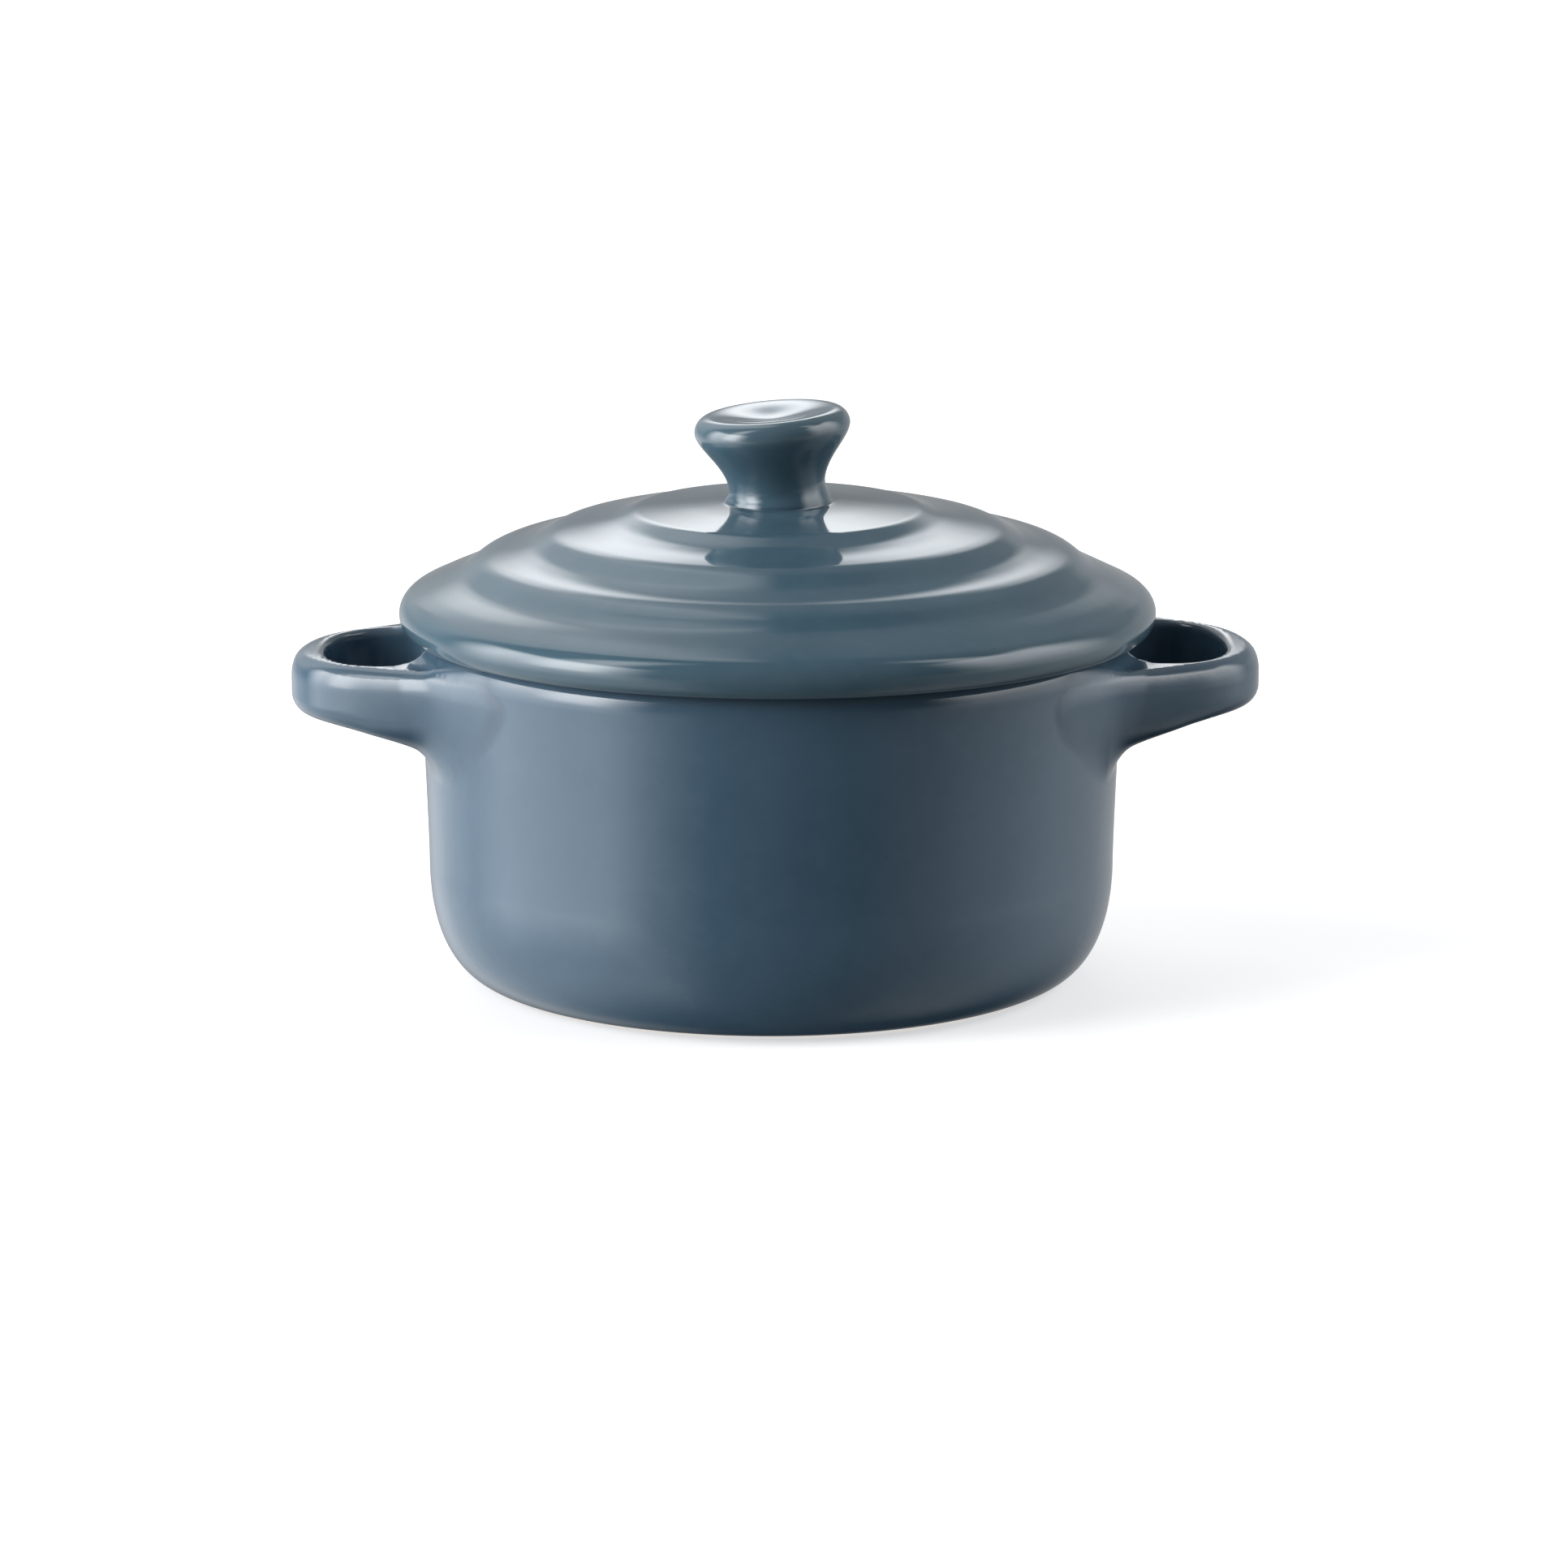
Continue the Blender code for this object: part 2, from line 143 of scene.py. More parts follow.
class Field:
    """Signed distance to a closed outline, on a grid, read with cubic interpolation."""

    def __init__(self, outline, lo, hi, step):
        self.lo, self.step = np.array(lo, float), step
        n = [int(math.ceil((h - l) / step)) + 1 for l, h in zip(lo, hi)]
        u, v = np.meshgrid(lo[0] + step * np.arange(n[0]), lo[1] + step * np.arange(n[1]), indexing="ij")
        pts = np.stack([u.ravel(), v.ravel()], 1)
        a = outline
        b = np.roll(outline, -1, 0)
        d = b - a
        dd = np.maximum((d * d).sum(1), 1e-12)
        out = np.empty(len(pts))
        for i in range(0, len(pts), 3000):
            q = pts[i : i + 3000, None, :]
            t = np.clip(((q - a) * d).sum(2) / dd, 0, 1)
            near = np.sqrt((((a + t[..., None] * d) - q) ** 2).sum(2).min(1))
            over = (a[:, 1] > q[..., 1]) != (b[:, 1] > q[..., 1])
            with np.errstate(divide="ignore", invalid="ignore"):
                cross = a[:, 0] + (q[..., 1] - a[:, 1]) * d[:, 0] / d[:, 1]
            inside = (over & (q[..., 0] < cross)).sum(1) % 2 == 1
            out[i : i + 3000] = np.where(inside, -near, near)
        self.f = out.reshape(n)

    def __call__(self, u, v):
        x = (u - self.lo[0]) / self.step
        y = (v - self.lo[1]) / self.step
        nx, ny = self.f.shape
        x = np.clip(x, 1.0, nx - 2.001)
        y = np.clip(y, 1.0, ny - 2.001)
        i, j = x.astype(int), y.astype(int)
        tx, ty = x - i, y - j

        def weights(t):
            return (
                -0.5 * t + t * t - 0.5 * t**3,
                1 - 2.5 * t * t + 1.5 * t**3,
                0.5 * t + 2 * t * t - 1.5 * t**3,
                -0.5 * t * t + 0.5 * t**3,
            )

        wx, wy = weights(tx), weights(ty)
        flat, total = self.f.ravel(), 0.0
        for a in range(4):
            row = (i + a - 1) * ny + j - 1
            line = sum(wy[b] * flat[row + b] for b in range(4))
            total = total + wx[a] * line
        return total


half = bowl_half()
whole = np.concatenate([half, (half * [-1, 1])[::-1][1:-1]])
bowl_field = Field(whole, (-1.5, -4.0), (62.0, 56.0), 0.25)


def ear_plan(spread):
    """Ear in plan: an elliptic tip and straight sides that spread towards the wall, with the
    change between them eased."""
    turn = math.degrees(math.atan2(EAR_HALF, EAR_LONG * spread))
    tip = super_arc(EAR_MID, EAR_LONG, EAR_HALF, -turn, turn, 400, 2.0)
    back = tip[-1] + np.array([-40.0, 40.0 * spread])
    line = np.concatenate([[back * [1, -1]], tip, [back]])
    along = np.concatenate([[0], np.cumsum(np.hypot(*np.diff(line, axis=0).T))])
    even = np.arange(0.0, along[-1], 0.25)
    line = np.stack([np.interp(even, along, line[:, k]) for k in (0, 1)], 1)
    window = np.hanning(51)
    window /= window.sum()
    line = np.stack([np.convolve(line[:, k], window, "valid") for k in (0, 1)], 1)
    line[:, 0] += TIP_MEAN - line[:, 0].max()
    line = line[line[:, 0] > 36.0]
    return np.concatenate([line, [[36.0, line[-1, 1]], [36.0, line[0, 1]]]])


ear_hole = super_arc(HOLE_MID, HOLE_LONG, HOLE_HALF, 0, 360, 240, HOLE_POWER)[:-1]
out_field, low_field = (Field(ear_plan(k), (38.0, -0.9), (76.0, 56.0), 0.3) for k in (EAR_SPREAD, EAR_SPREAD_LOW))
hole_field = Field(ear_hole, (38.0, -0.9), (76.0, 56.0), 0.3)


def round_both(a, b, r):
    """Where both solids are, with the shared edge rounded by r."""
    return np.minimum(np.maximum(a, b), -r) + np.hypot(np.maximum(a + r, 0), np.maximum(b + r, 0))


def round_either(a, b, r):
    """Where either solid is, with the inner corner filled by a fillet of radius r."""
    return np.maximum(np.minimum(a, b), r) - np.hypot(np.maximum(r - a, 0), np.maximum(r - b, 0))


def pot_field(p):
    x, y, z = p[..., 0], p[..., 1], p[..., 2]
    r = np.hypot(x, y)
    bowl = bowl_field(r, z)
    ay = np.abs(y)
    X = np.abs(x) + TIP_MEAN - np.where(x < 0, TIP_LEFT, TIP_RIGHT)
    lift = np.clip(66.0 - X, 0.0, 20.0)
    under = EAR_UNDER + np.where(x < 0, 0.0, UNDER_RIGHT) - EAR_SWEEP * lift**2
    under = (under - z) / np.sqrt(1 + (2 * EAR_SWEEP * lift) ** 2)
    # the arms spread and flare into the wall at the top, and less at the bottom
    high = smooth((z - 34.0) / 11.0)
    flare = lerp(EAR_FLARE_LOW, EAR_FLARE, high)
    outline = lerp(low_field(X, ay), out_field(X, ay), high)
    plan = round_either(r - wall_radius(z) + FLARE_IN, outline, flare)
    # the top is highest along the finger hole and falls away from it, and rises to the rim at the hole's end
    hole = hole_field(X, ay)
    fall = np.clip(hole, 0.0, 7.0)
    fall = EAR_SLOPE * (fall - np.clip(fall - 4.0, 0.0, 3.0) ** 2 / 6.0) * smooth((r - 54.0) / 8.0)
    climb = EAR_CLIMB * np.clip(55.0 - r, 0.0, 6.0) * (1 - 0.6 * smooth((hole - 0.5) / 5.0))
    top = EAR_TOP + climb - fall + np.where(x < 0, TILT_LEFT, TILT_RIGHT) * y
    # the rounded top edge eases out into the side
    ease = EAR_EASE * np.clip(z - top + EAR_EASE_H, 0.0, EAR_EASE_H) ** 2
    tab = round_both(plan + ease, z - top, EAR_EDGE)
    tab = round_both(tab, under, lerp(EAR_EDGE_WALL, EAR_EDGE_LOW, smooth((r - 49.0) / 10.0)))
    ear = round_both(tab, -hole, HOLE_EDGE)
    ear = np.maximum(ear, 47.4 - r)
    return round_either(bowl, ear, EAR_FILLET * smooth((r - 47.5) / 2.0) * smooth((10.0 - outline) / 8.0))


def gradient(field, p, eps=0.04):
    g = np.empty_like(p)
    for k in range(3):
        d = np.zeros(3)
        d[k] = eps
        g[:, k] = (field(p + d) - field(p - d)) / (2 * eps)
    return g


def skin(field, lo, hi, h):
    """Quads on the field's zero surface: one point for each cell that it crosses."""
    n = [int(math.ceil((b - a) / h)) + 1 for a, b in zip(lo, hi)]
    axes = [a + h * np.arange(k) for a, k in zip(lo, n)]
    f = np.empty(n)
    for i in range(n[0]):
        g = np.stack(np.meshgrid([axes[0][i]], axes[1], axes[2], indexing="ij"), -1)
        f[i] = field(g)[0]
    inside = f < 0
    cells = [k - 1 for k in n]
    total = np.zeros(cells + [3])
    count = np.zeros(cells)
    corner = [(a, b, c) for a in (0, 1) for b in (0, 1) for c in (0, 1)]

    def cut(arr, o):
        return arr[o[0] : o[0] + cells[0], o[1] : o[1] + cells[1], o[2] : o[2] + cells[2]]

    for o in corner:
        for k in range(3):
            if o[k]:
                continue
            q = list(o)
            q[k] = 1
            fa, fb = cut(f, o), cut(f, q)
            hit = cut(inside, o) != cut(inside, q)
            t = np.where(hit, fa / np.where(hit, fa - fb, 1.0), 0.0)
            for m in range(3):
                total[..., m] += hit * (t if m == k else o[m])
            count += hit
    active = count > 0
    index = np.full(cells, -1, np.int64)
    index[active] = np.arange(active.sum())
    where = np.argwhere(active)
    verts = np.array(lo) + h * (where + total[active] / count[active][:, None])
    quads = []
    for k in range(3):
        u, v = (k + 1) % 3, (k + 2) % 3
        first = [slice(None)] * 3
        second = [slice(None)] * 3
        first[k], second[k] = slice(0, -1), slice(1, None)
        a, b = inside[tuple(first)], inside[tuple(second)]
        hits = np.argwhere(a != b)
        ok = (hits[:, u] > 0) & (hits[:, v] > 0) & (hits[:, u] < n[u] - 1) & (hits[:, v] < n[v] - 1)
        hits = hits[ok]
        ring = []
        for du, dv in ((-1, -1), (0, -1), (0, 0), (-1, 0)):
            c = hits.copy()
            c[:, u] += du
            c[:, v] += dv
            ring.append(index[c[:, 0], c[:, 1], c[:, 2]])
        ring = np.stack(ring, 1)
        out = a[tuple(hits.T)]
        quads.append(np.where(out[:, None], ring, ring[:, ::-1]))
    return verts, np.concatenate(quads)


def settle(field, verts, quads, rounds):
    """Evens out the points along the surface and puts each back on it."""
    ends = np.concatenate([quads[:, [i, (i + 1) % 4]] for i in range(4)])
    ends = np.unique(np.sort(ends, 1), axis=0)
    degree = np.zeros(len(verts))
    np.add.at(degree, ends.ravel(), 1)

    def project(p, times):
        for _ in range(times):
            g = gradient(field, p)
            p = p - (field(p) / np.maximum((g * g).sum(1), 0.05))[:, None] * g
        return p

    verts = project(verts, 3)
    for _ in range(rounds):
        mean = np.zeros_like(verts)
        np.add.at(mean, ends[:, 0], verts[ends[:, 1]])
        np.add.at(mean, ends[:, 1], verts[ends[:, 0]])
        verts = project(lerp(verts, mean / degree[:, None], 0.6), 1)
    verts = project(verts, 2)
    g = gradient(field, verts)
    return verts, g / np.linalg.norm(g, axis=1)[:, None]


def bend_of(field, p, eps=0.6):
    """How sharply the surface turns outwards at each point, per millimetre."""
    total = -6 * field(p)
    for k in range(3):
        d = np.zeros(3)
        d[k] = eps
        total = total + field(p + d) + field(p - d)
    return total / eps**2


def mesh_object(name, verts_mm, faces, normals=None, bend=None):
    mesh = bpy.data.meshes.new(name)
    flat = [tuple(int(i) for i in f) for f in faces]
    mesh.from_pydata([tuple(v) for v in np.asarray(verts_mm) * MM], [], flat)
    mesh.validate()
    mesh.shade_smooth()
    if bend is not None:
        layer = mesh.attributes.new("bend", "FLOAT", "POINT")
        layer.data.foreach_set("value", np.asarray(bend, np.float32))
    if normals is not None:
        mesh.normals_split_custom_set_from_vertices([tuple(v) for v in normals])
    obj = bpy.data.objects.new(name, mesh)
    bpy.context.scene.collection.objects.link(obj)
    return obj


def make_pot():
    verts, quads = skin(pot_field, (-71.0, -52.0, -1.45), (72.0, 52.0, 51.0), 0.75)
    verts, normals = settle(pot_field, verts, quads, 6)
    return mesh_object("pot_glazed", verts, quads, normals, bend_of(pot_field, verts))


# =====================================================================================
# Lid with its knob: turned, the knob leaning
# =====================================================================================
def dome_slope(r):
    radii = np.array([s[0] for s in STEPS])
    slopes = np.array([s[1] for s in STEPS])
    k = np.clip(np.searchsorted(radii, r, side="right") - 1, 0, len(radii) - 2)
    t = smooth((r - radii[k]) / (radii[k + 1] - radii[k]))
    return lerp(slopes[k], slopes[k + 1], t)


def dome():
    """Fine profile of the lid's top from its middle out, and where its edge takes over."""
    end, last = STEPS[-1]
    u = math.atan2(LID_UP_H, LID_UP_R * last)
    edge_r = LID_R - LID_UP_R + LID_UP_R * math.cos(u)
    z_edge = LID_EDGE_Z + LID_UP_H * math.sin(u)
    r = np.linspace(0, max(end, edge_r), 2000)
    s = dome_slope(np.minimum(r, end))
    z = np.concatenate([[0], np.cumsum((s[1:] + s[:-1]) / 2 * np.diff(r))])
    return r, z_edge + z[-1] - z, math.degrees(u)


DOME_R, DOME_Z, EDGE_START = dome()


def lid_rings():
    """(radius, height, share of the knob's lean) of each ring, underside to knob top."""
    p = []
    for r in np.linspace(0.0, CEILING_R, 26)[:-1]:
        p.append((r, CEILING_Z - CEILING_DROP * (r / CEILING_R) ** 2.2))
    edge = CEILING_Z - CEILING_DROP
    p += arc(CEILING_R, edge - 4.0, FLANGE_IN - CEILING_R, 4.0, 78, 0, 10)
    mid, thick = (FLANGE_OUT + FLANGE_IN) / 2, (FLANGE_OUT - FLANGE_IN) / 2
    p += arc(mid, FLANGE_Z + thick, thick, thick, 180, 360, 16)
    p += [(FLANGE_OUT, SEAT_Z - 1.8)]
    p += arc(FLANGE_OUT + 1.0, SEAT_Z - 1.0, 1.0, 1.0, 180, 90, 6)
    p += [(46.0, SEAT_Z), (SEAT_OUT - 0.8, SEAT_Z)]
    low = LID_EDGE_Z - LID_LOW_H
    for t in np.linspace(0, 1, 6)[1:]:
        p.append((lerp(SEAT_OUT - 0.8, LID_R - LID_LOW_R, t), lerp(SEAT_Z, low, smooth(t))))
    p += arc(LID_R - LID_LOW_R, LID_EDGE_Z, LID_LOW_R, LID_LOW_H, -90, 0, 16)[1:]
    p += arc(LID_R - LID_UP_R, LID_EDGE_Z, LID_UP_R, LID_UP_H, 0, EDGE_START, 22)[1:]
    top_from = len(p)
    for r in np.arange(DOME_R[-1] - 0.35, KNOB_STEM[0][1] + 0.5, -0.35):
        p.append((r, float(np.interp(r, DOME_R, DOME_Z))))
    lean = [0.0] * len(p)
    z0 = DOME_Z[0]
    base_z, base_r = KNOB_STEM[0]
    seat = float(np.interp(base_r, DOME_R, DOME_Z))
    # a thin bead of glaze in the corner, then the stem's waist and flare, the rolled rim, the dish
    k = arc(base_r + 0.3, seat + 0.3, 0.3, 0.3, 270, 190, 4)
    stem = np.array(KNOB_STEM)
    slope = np.gradient(stem[:, 1], stem[:, 0])
    slope[-1] = 0.0
    for z in np.linspace(base_z + 0.25, KNOB_WIDE_Z, 48):
        i = min(int(np.searchsorted(stem[:, 0], z, side="right")) - 1, len(stem) - 2)
        h = stem[i + 1, 0] - stem[i, 0]
        t = (z - stem[i, 0]) / h
        r = (
            (1 + 2 * t) * (1 - t) ** 2 * stem[i, 1] + t * (1 - t) ** 2 * h * slope[i]
            + t * t * (3 - 2 * t) * stem[i + 1, 1] - t * t * (1 - t) * h * slope[i + 1]
        )
        k.append((r, z0 + z))
    k += [(a, z0 + b) for a, b in arc(KNOB_CREST_R, KNOB_WIDE_Z, KNOB_R - KNOB_CREST_R, KNOB_CREST_Z - KNOB_WIDE_Z, 0, 90, 22)[1:]]
    for t in np.linspace(0, 1, 26)[1:]:
        k.append((KNOB_CREST_R * (1 - t), z0 + KNOB_CREST_Z - KNOB_DISH * float(smooth(t))))
    p += k
    lean += [float(smooth((z - seat) / 1.6)) for _, z in k]
    return np.array(p), np.array(lean), len(p) - len(k), top_from, seat


def make_lid():
    rings, lean, knob_from, top_from, seat = lid_rings()
    count = 256
    a = np.linspace(0, 2 * np.pi, count, endpoint=False)
    inner = rings[1:-1]
    x = inner[:, :1] * np.cos(a)
    y = inner[:, :1] * np.sin(a)
    z = np.repeat(inner[:, 1:], count, 1)
    share = lean[1:-1, None]
    x = x + KNOB_SHIFT * (np.arange(1, len(rings) - 1)[:, None] >= knob_from)
    turn = -KNOB_LEAN * share

    def tip(x, z, turn):
        dx, dz = x - KNOB_SHIFT, z - seat
        return KNOB_SHIFT + dx * np.cos(turn) + dz * np.sin(turn), seat - dx * np.sin(turn) + dz * np.cos(turn)

    tx, tz = tip(x, z, turn)
    x = np.where(share > 0, tx, x)
    z = np.where(share > 0, tz, z)
    warp = smooth((51.5 - inner[:, :1]) / 10.0) * (np.arange(1, len(rings) - 1)[:, None] >= top_from)
    z = z + warp * (WARP_RIGHT * x + WARP_BACK * y)
    x = x + LID_SHIFT
    verts = np.stack([x, y, z], -1).reshape(-1, 3)
    top_x, top_z = tip(KNOB_SHIFT, rings[-1, 1], -KNOB_LEAN)
    poles = [[LID_SHIFT, 0.0, rings[0, 1]], [top_x + LID_SHIFT, 0.0, top_z + WARP_RIGHT * top_x]]
    verts = np.concatenate([verts, poles])
    faces = []
    rows = len(inner)
    low, high = rows * count, rows * count + 1
    for i in range(count):
        j = (i + 1) % count
        faces.append((low, j, i))
        for m in range(rows - 1):
            faces.append((m * count + i, m * count + j, (m + 1) * count + j, (m + 1) * count + i))
        faces.append((high, (rows - 1) * count + i, (rows - 1) * count + j))
    # bend of the profile, outwards positive
    d = np.gradient(rings, axis=0)
    d2 = np.gradient(d, axis=0)
    speed = np.maximum(np.hypot(d[:, 0], d[:, 1]), 1e-6)
    k = (d[:, 0] * d2[:, 1] - d[:, 1] * d2[:, 0]) / speed**3
    k = np.convolve(np.pad(k, 2, mode="edge"), [0.1, 0.2, 0.4, 0.2, 0.1], "valid")
    bend = np.concatenate([np.repeat(k[1:-1], count), [0.0, 0.0]])
    return mesh_object("lid_glazed", verts, faces, None, np.clip(bend, -2, 2))


# =====================================================================================
# Materials
# =====================================================================================
def node(tree, kind, **values):
    n = tree.nodes.new(kind)
    for key, value in values.items():
        if key in n.inputs:
            n.inputs[key].default_value = value
        else:
            setattr(n, key, value)
    return n


def glaze_material(name, foot, tint):
    """Glossy blue-grey stoneware glaze: cloudy colour, pale on convex edges (partly thin glaze,
    partly a painted highlight), deeper where it pools, a faint ripple, and a few pinholes. Under
    the foot the bare clay shows. The tint sets the pot's and the lid's firings a little apart."""
    mat = bpy.data.materials.new(name)
    mat.use_nodes = True
    t = mat.node_tree
    bsdf = t.nodes["Principled BSDF"]
    link = t.links.new
    place = node(t, "ShaderNodeTexCoord").outputs["Object"]

    def noise(scale, detail=3.0, rough=0.55):
        n = node(t, "ShaderNodeTexNoise", Scale=scale, Detail=detail, Roughness=rough)
        link(place, n.inputs["Vector"])
        return n.outputs["Fac"]

    def mapped(value, a, b, c, d, kind="SMOOTHSTEP"):
        n = node(t, "ShaderNodeMapRange", interpolation_type=kind)
        link(value, n.inputs["Value"])
        for key, v in zip(("From Min", "From Max", "To Min", "To Max"), (a, b, c, d)):
            n.inputs[key].default_value = v
        return n.outputs["Result"]

    def math_node(op, a, b):
        n = node(t, "ShaderNodeMath", operation=op)
        for i, v in enumerate((a, b)):
            if isinstance(v, (int, float)):
                n.inputs[i].default_value = v
            else:
                link(v, n.inputs[i])
        return n.outputs[0]

    def mix(fac, a, b):
        n = node(t, "ShaderNodeMix", data_type="RGBA")
        link(fac, n.inputs["Factor"])
        for socket, v in ((n.inputs[6], a), (n.inputs[7], b)):
            if isinstance(v, tuple):
                socket.default_value = (*(c * k for c, k in zip(v, tint)), 1.0)
            else:
                link(v, socket)
        return n.outputs[2]

    cloud = noise(38.0, 4.0, 0.6)
    fine = noise(420.0, 2.0, 0.5)
    speckle = noise(1900.0, 1.0, 0.5)
    colour = mix(mapped(cloud, 0.32, 0.68, 0.0, 1.0), (0.0455, 0.091, 0.137), (0.0545, 0.105, 0.156))
    colour = mix(mapped(fine, 0.35, 0.75, 0.0, 0.22), colour, (0.066, 0.117, 0.168))
    colour = mix(mapped(speckle, 0.70, 0.82, 0.0, 0.35), colour, (0.034, 0.060, 0.092))
    bend = node(t, "ShaderNodeAttribute", attribute_type="GEOMETRY", attribute_name="bend").outputs["Fac"]
    # partly painted highlight: convex edges are mixed toward a pale grey, which stands both for thinner glaze and
    # for the light these edges catch
    colour = mix(mapped(bend, 0.12, 0.9, 0.0, 0.42), colour, (0.125, 0.165, 0.190))
    colour = mix(mapped(bend, -0.15, -0.9, 0.0, 0.55), colour, (0.030, 0.058, 0.098))
    # pinholes: rare cells of a cell pattern hold one tiny pale pit
    cells = node(t, "ShaderNodeTexVoronoi", Scale=95.0, feature="F1")
    link(place, cells.inputs["Vector"])
    chosen = node(t, "ShaderNodeSeparateColor")
    link(cells.outputs["Color"], chosen.inputs["Color"])
    rare = mapped(chosen.outputs[0], 0.935, 0.940, 0.0, 1.0)
    pit = math_node("MULTIPLY", mapped(cells.outputs["Distance"], 0.022, 0.012, 0.0, 1.0), rare)
    colour = mix(math_node("MULTIPLY", pit, 0.75), colour, (0.46, 0.52, 0.56))
    rough = mapped(noise(90.0, 3.0), 0.3, 0.7, 0.055, 0.085)
    height = math_node("ADD", math_node("MULTIPLY", noise(110.0, 2.0, 0.4), 1.0), math_node("MULTIPLY", fine, 0.10))
    height = math_node("SUBTRACT", height, math_node("MULTIPLY", pit, 0.8))
    if foot:
        split = node(t, "ShaderNodeSeparateXYZ")
        link(place, split.inputs["Vector"])
        level = math_node("ADD", split.outputs["Z"], math_node("MULTIPLY", math_node("SUBTRACT", noise(260.0, 2.0), 0.5), 0.0002))
        bare = mapped(level, 0.00016, 0.00006, 0.0, 1.0)
        grit = noise(1500.0, 3.0, 0.7)
        clay = mix(mapped(grit, 0.35, 0.7, 0.0, 1.0), (0.43, 0.36, 0.28), (0.58, 0.50, 0.40))
        colour = mix(bare, colour, clay)
        rough = math_node("ADD", rough, math_node("MULTIPLY", bare, 0.65))
        height = math_node("ADD", height, math_node("MULTIPLY", math_node("MULTIPLY", grit, bare), 1.2))
    bump = node(t, "ShaderNodeBump", Strength=0.35, Distance=0.00006)
    link(height, bump.inputs["Height"])
    link(colour, bsdf.inputs["Base Color"])
    link(rough, bsdf.inputs["Roughness"])
    link(bump.outputs["Normal"], bsdf.inputs["Normal"])
    bsdf.inputs["IOR"].default_value = 1.52
    return mat


def floor_material():
    mat = bpy.data.materials.new("pale_floor")
    mat.use_nodes = True
    t = mat.node_tree
    bsdf = t.nodes["Principled BSDF"]
    place = node(t, "ShaderNodeTexCoord").outputs["Object"]
    n = node(t, "ShaderNodeTexNoise", Scale=9.0, Detail=2.0)
    t.links.new(place, n.inputs["Vector"])
    ramp = node(t, "ShaderNodeMapRange")
    t.links.new(n.outputs["Fac"], ramp.inputs["Value"])
    ramp.inputs["To Min"].default_value = 0.62
    ramp.inputs["To Max"].default_value = 0.64
    grey = node(t, "ShaderNodeCombineColor")
    for i in range(3):
        t.links.new(ramp.outputs["Result"], grey.inputs[i])
    t.links.new(grey.outputs["Color"], bsdf.inputs["Base Color"])
    bsdf.inputs["Roughness"].default_value = 0.7
    bsdf.inputs["Specular IOR Level"].default_value = 0.2
    bsdf.inputs["Emission Color"].default_value = (1.0, 1.0, 1.0, 1.0)
    bsdf.inputs["Emission Strength"].default_value = 0.54
    return mat


# =====================================================================================
# Studio
# =====================================================================================
# soft lights about the object, angles in degrees: azimuth from the front and positive to the
# right, half width at full and at no light, then elevations none, full, full, none; radiance
LIGHTS = {
    "key_left": (-80, 17, 42, -31, 26, 29, 39, 7.7),
    "strip_left": (-69, 3, 19, -7, 5, 51, 79, 4.3),
    "fill_left": (-100, 48, 82, -74, -35, -17, 6, 1.1),
    "side_right": (86, 13, 38, -20, 39, 42, 52, 4.2),
    "strip_right": (77, 3, 17, 38, 50, 57, 75, 2.5),
    "fill_right": (80, 7, 61, -85, -55, -6, 6, 0.5),
    "wall_behind": (179, 2, 20, 10, 24, 27, 37, 3.5),
    "high_behind": (-150, 14, 34, -16, 60, 69, 87, 1.7),
    "low_behind": (152, 25, 115, -30, -10, 10, 20, 0.2),
    "room_right": (137, 2, 77, -49, -20, 50, 76, 0.4),
}
LIGHT_COLOUR, BACKDROP = (0.98, 0.99, 1.0, 1.0), (0.97, 0.975, 0.98, 1.0)


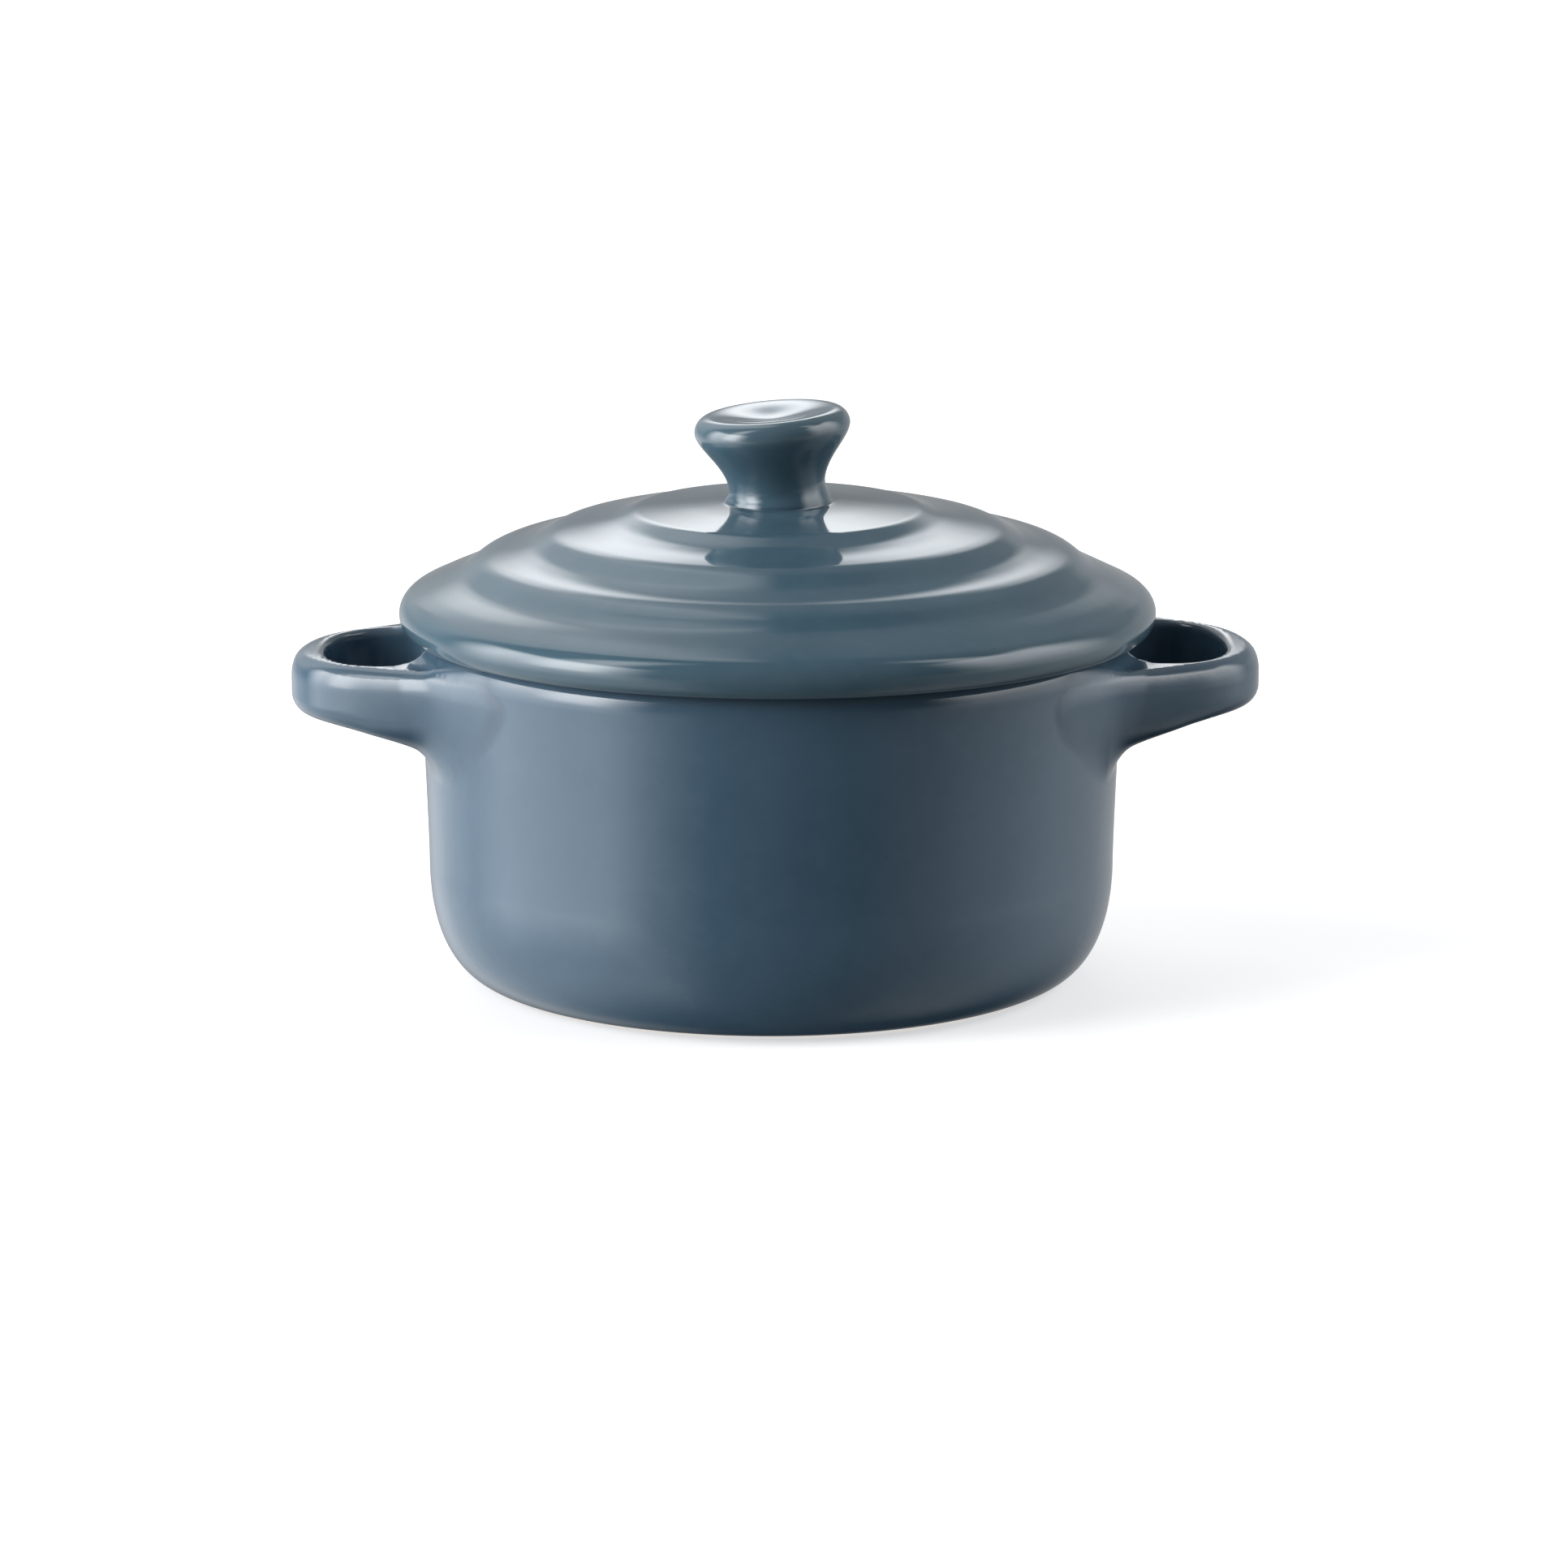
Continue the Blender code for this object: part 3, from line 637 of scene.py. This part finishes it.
def studio_world():
    """A soft studio: a big soft light at the left, a smaller one at the right, a bright
    patch of wall behind, low fills, and a dark room in front."""
    world = bpy.data.worlds.new("studio")
    bpy.context.scene.world = world
    world.use_nodes = True
    t = world.node_tree
    t.nodes.clear()
    link = t.links.new
    out = t.nodes.new("ShaderNodeOutputWorld")
    direction = node(t, "ShaderNodeTexCoord").outputs["Generated"]

    def ranged(value, a, b, c, d):
        n = node(t, "ShaderNodeMapRange", interpolation_type="SMOOTHSTEP")
        link(value, n.inputs["Value"])
        for key, v in zip(("From Min", "From Max", "To Min", "To Max"), (a, b, c, d)):
            n.inputs[key].default_value = v
        return n.outputs["Result"]

    def join(op, *values):
        n = node(t, "ShaderNodeMath", operation=op)
        for i, v in enumerate(values):
            if isinstance(v, (int, float)):
                n.inputs[i].default_value = v
            else:
                link(v, n.inputs[i])
        return n.outputs[0]

    split = node(t, "ShaderNodeSeparateXYZ")
    link(direction, split.inputs["Vector"])
    azimuth = join("ARCTAN2", split.outputs["X"], join("MULTIPLY", split.outputs["Y"], -1.0))
    elevation = join("ARCSINE", split.outputs["Z"])
    total = 0.0
    for middle, near, far, none_low, full_low, full_high, none_high, power in LIGHTS.values():
        middle, near, far, none_low, full_low, full_high, none_high = (
            math.radians(v) for v in (middle, near, far, none_low, full_low, full_high, none_high)
        )
        off = join("ABSOLUTE", join("WRAP", join("SUBTRACT", azimuth, middle), math.pi, -math.pi))
        part = ranged(off, far, near, 0.0, power)
        part = join("MULTIPLY", part, ranged(elevation, none_low, full_low, 0.0, 1.0))
        part = join("MULTIPLY", part, ranged(elevation, none_high, full_high, 0.0, 1.0))
        total = join("ADD", total, part)
    light = node(t, "ShaderNodeBackground", Color=LIGHT_COLOUR)
    link(total, light.inputs["Strength"])
    plain = node(t, "ShaderNodeBackground", Color=BACKDROP, Strength=1.0)
    path = node(t, "ShaderNodeLightPath")
    pick = node(t, "ShaderNodeMixShader")
    link(path.outputs["Is Camera Ray"], pick.inputs["Fac"])
    link(light.outputs[0], pick.inputs[1])
    link(plain.outputs[0], pick.inputs[2])
    link(pick.outputs[0], out.inputs["Surface"])


def make_floor():
    size, steps = 4.0, 8
    grid = np.linspace(-size, size, steps + 1)
    verts = [(x / MM, y / MM, -0.25) for y in grid for x in grid]
    faces = [
        (j * (steps + 1) + i, j * (steps + 1) + i + 1, (j + 1) * (steps + 1) + i + 1, (j + 1) * (steps + 1) + i)
        for j in range(steps) for i in range(steps)
    ]
    floor = mesh_object("floor", verts, faces)
    floor.data.materials.append(floor_material())
    # the floor shows and takes the shadow, and the studio alone lights the object
    floor.visible_diffuse = floor.visible_glossy = floor.visible_shadow = False


def make_camera():
    """The photograph's view: a long lens from a metre away, a little above the lid, with
    the left handle slightly nearer. The frame is taken as 1932 pixels square."""
    frame_px, focal_px = 1932.0, 8830.0
    turn, away, height, target = math.radians(2.1), 1.0, 0.242, 0.042
    right_px, up_px = 950.0 - 966.0, 966.0 - 838.5
    data = bpy.data.cameras.new("camera")
    data.sensor_width = 36.0
    data.sensor_fit = "HORIZONTAL"
    data.lens = 36.0 * focal_px / frame_px
    data.clip_start, data.clip_end = 0.01, 20.0
    cam = bpy.data.objects.new("camera", data)
    cam.location = (-away * math.sin(turn), -away * math.cos(turn), height)
    pitch = math.atan2(height - target, away) + math.atan2(up_px, focal_px)
    heading = -turn + math.atan2(right_px, focal_px)
    cam.rotation_euler = Euler((math.pi / 2 - pitch, 0.0, heading), "XYZ")
    bpy.context.scene.collection.objects.link(cam)
    bpy.context.scene.camera = cam


make_camera()
studio_world()
make_floor()

pot = make_pot()
pot.data.materials.append(glaze_material("pot_glaze", True, (1.08, 0.99, 0.97)))
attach(pot, "pot")
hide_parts("bowl", "handle_left", "handle_right")

lid = make_lid()
lid.data.materials.append(glaze_material("lid_glaze", False, (1.03, 0.97, 0.87)))
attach(lid, "cover")
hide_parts("lid", "knob")

bpy.context.scene.view_settings.view_transform = "Standard"
